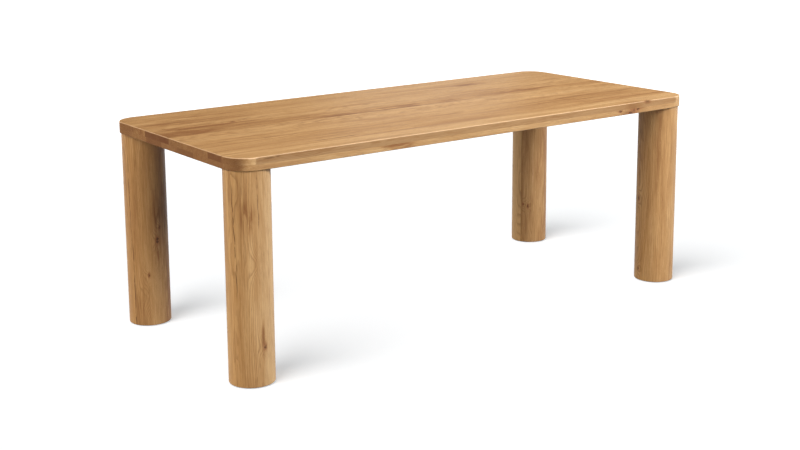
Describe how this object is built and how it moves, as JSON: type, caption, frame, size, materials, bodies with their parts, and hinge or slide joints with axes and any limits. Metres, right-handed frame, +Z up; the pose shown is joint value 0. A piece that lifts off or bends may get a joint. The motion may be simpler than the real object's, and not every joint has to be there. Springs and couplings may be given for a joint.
{
  "type": "dining table",
  "caption": "Rectangular solid oak dining table with rounded corners, a doubled edge under a glued board top, round corner legs set flush with the top and levelling glides.",
  "frame": {"origin": "middle of the footprint, on the floor that the glides stand on", "axes": "+X along the table's length, +Y from the front long side to the back, +Z up"},
  "size_m": [2, 0.9, 0.74],
  "materials": {
    "oak_top": "oiled, satin",
    "oak_rim": "oiled, satin",
    "oak_end_blocks": "oiled end grain",
    "oak_leg": "oiled, satin",
    "leg_plate_steel": "rolled steel, zinc plated",
    "brace_steel": "black powder coat",
    "zinc_hardware": "bright zinc",
    "glide_plastic": "moulded black"
  },
  "bodies": {
    "table": {"top_board_1": "oak_top", "top_board_2": "oak_top", "top_board_3": "oak_top", "top_board_4": "oak_top", "top_board_5": "oak_top", "top_board_6": "oak_top", "top_board_7": "oak_top", "top_board_8": "oak_top", "top_board_9": "oak_top", "top_board_10": "oak_top", "front_rim_outer": "oak_rim", "front_rim_inner": "oak_rim", "back_rim_inner": "oak_rim", "back_rim_outer": "oak_rim", "left_end_block_1": "oak_end_blocks", "left_end_block_2": "oak_end_blocks", "left_end_block_3": "oak_end_blocks", "left_end_block_4": "oak_end_blocks", "left_end_block_5": "oak_end_blocks", "right_end_block_1": "oak_end_blocks", "right_end_block_2": "oak_end_blocks", "right_end_block_3": "oak_end_blocks", "right_end_block_4": "oak_end_blocks", "right_end_block_5": "oak_end_blocks", "front_left_leg_outer": "oak_leg", "front_left_leg_core": "oak_leg", "front_left_leg_inner": "oak_leg", "front_right_leg_outer": "oak_leg", "front_right_leg_core": "oak_leg", "front_right_leg_inner": "oak_leg", "back_left_leg_outer": "oak_leg", "back_left_leg_core": "oak_leg", "back_left_leg_inner": "oak_leg", "back_right_leg_outer": "oak_leg", "back_right_leg_core": "oak_leg", "back_right_leg_inner": "oak_leg", "front_left_leg_plate": "leg_plate_steel", "front_right_leg_plate": "leg_plate_steel", "back_left_leg_plate": "leg_plate_steel", "back_right_leg_plate": "leg_plate_steel", "brace_channel_left": "brace_steel", "brace_channel_middle": "brace_steel", "brace_channel_right": "brace_steel", "leg_studs": "zinc_hardware", "plate_screws": "zinc_hardware", "brace_screws": "zinc_hardware", "glide_inserts": "zinc_hardware"},
    "front_left_glide": {"front_left_glide_base": "glide_plastic", "front_left_glide_stud": "zinc_hardware"},
    "front_right_glide": {"front_right_glide_base": "glide_plastic", "front_right_glide_stud": "zinc_hardware"},
    "back_left_glide": {"back_left_glide_base": "glide_plastic", "back_left_glide_stud": "zinc_hardware"},
    "back_right_glide": {"back_right_glide_base": "glide_plastic", "back_right_glide_stud": "zinc_hardware"}
  },
  "joints": [
    {"name": "front_left_glide_height", "type": "slide", "parent": "table", "child": "front_left_glide", "axis": [0, 0, -1], "range_m": [0, 0.01]},
    {"name": "front_right_glide_height", "type": "slide", "parent": "table", "child": "front_right_glide", "axis": [0, 0, -1], "range_m": [0, 0.01]},
    {"name": "back_left_glide_height", "type": "slide", "parent": "table", "child": "back_left_glide", "axis": [0, 0, -1], "range_m": [0, 0.01]},
    {"name": "back_right_glide_height", "type": "slide", "parent": "table", "child": "back_right_glide", "axis": [0, 0, -1], "range_m": [0, 0.01]}
  ]
}
